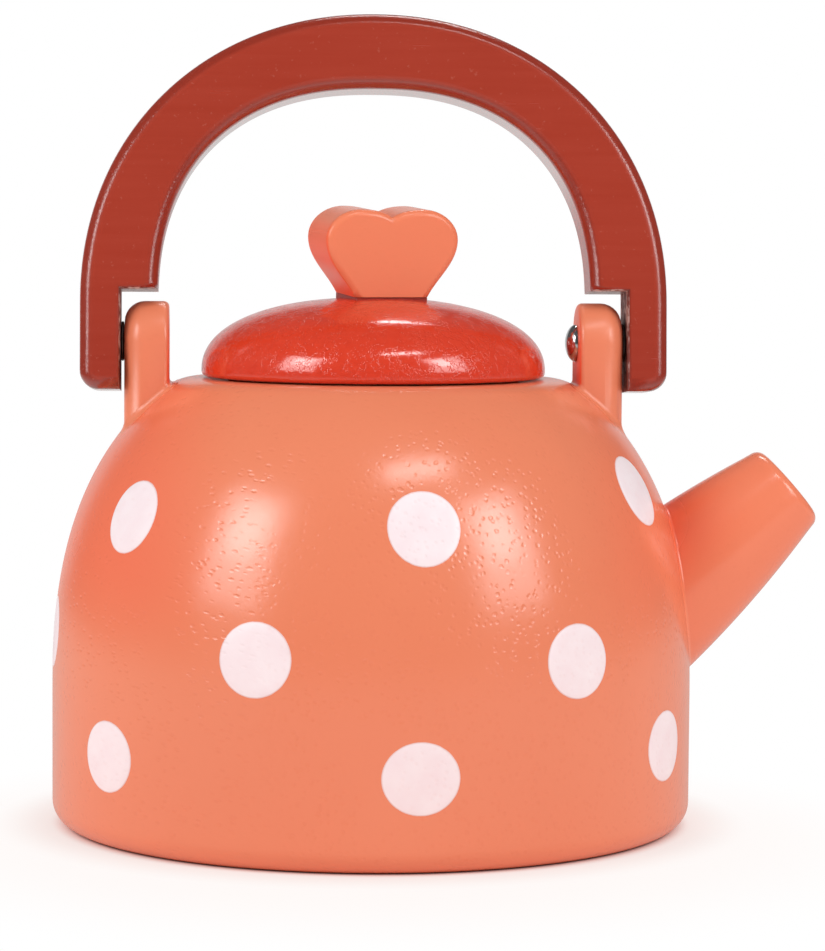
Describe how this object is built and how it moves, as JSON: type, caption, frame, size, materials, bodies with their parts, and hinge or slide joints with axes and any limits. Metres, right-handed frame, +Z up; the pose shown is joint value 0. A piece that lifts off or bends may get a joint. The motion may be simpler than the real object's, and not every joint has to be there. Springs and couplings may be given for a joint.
{
  "type": "toy kettle",
  "caption": "Round-shouldered wooden toy kettle with a stub spout, lift-off domed lid with a heart knob and an arched handle that swings on screws, painted red and coral with polka dots.",
  "frame": {"origin": "centre of the pot's flat base, on the floor", "axes": "+Z up along the pot's axis, +X towards the spout and along the handle's swing line, +Y to the back"},
  "size_m": [0.144, 0.12, 0.1513],
  "materials": {
    "coral_paint": "satin paint over wood",
    "red_paint": "gloss paint over wood",
    "brick_paint": "satin paint over wood",
    "bare_wood": "bare wood",
    "steel": "bright plated",
    "dark_steel": "dark oxide"
  },
  "bodies": {
    "kettle": {"pot": "coral_paint", "left_ear": "coral_paint", "right_ear": "coral_paint", "spout": "coral_paint", "spout_dowel": "bare_wood"},
    "handle": {"handle": "brick_paint", "left_pivot_screw": "steel", "right_pivot_screw": "steel", "left_pivot_washer": "dark_steel", "right_pivot_washer": "dark_steel"},
    "lid": {"lid": "red_paint", "heart_knob": "coral_paint", "knob_screw": "steel"}
  },
  "joints": [
    {"name": "handle_swing", "type": "hinge", "parent": "kettle", "child": "handle", "pos_m": [0, 0, 0.0902], "axis": [1, 0, 0], "range_deg": [-90, 99]},
    {"name": "lid_lift", "type": "slide", "parent": "kettle", "child": "lid", "axis": [0, 0, 1], "range_m": [0, 0.017]}
  ]
}
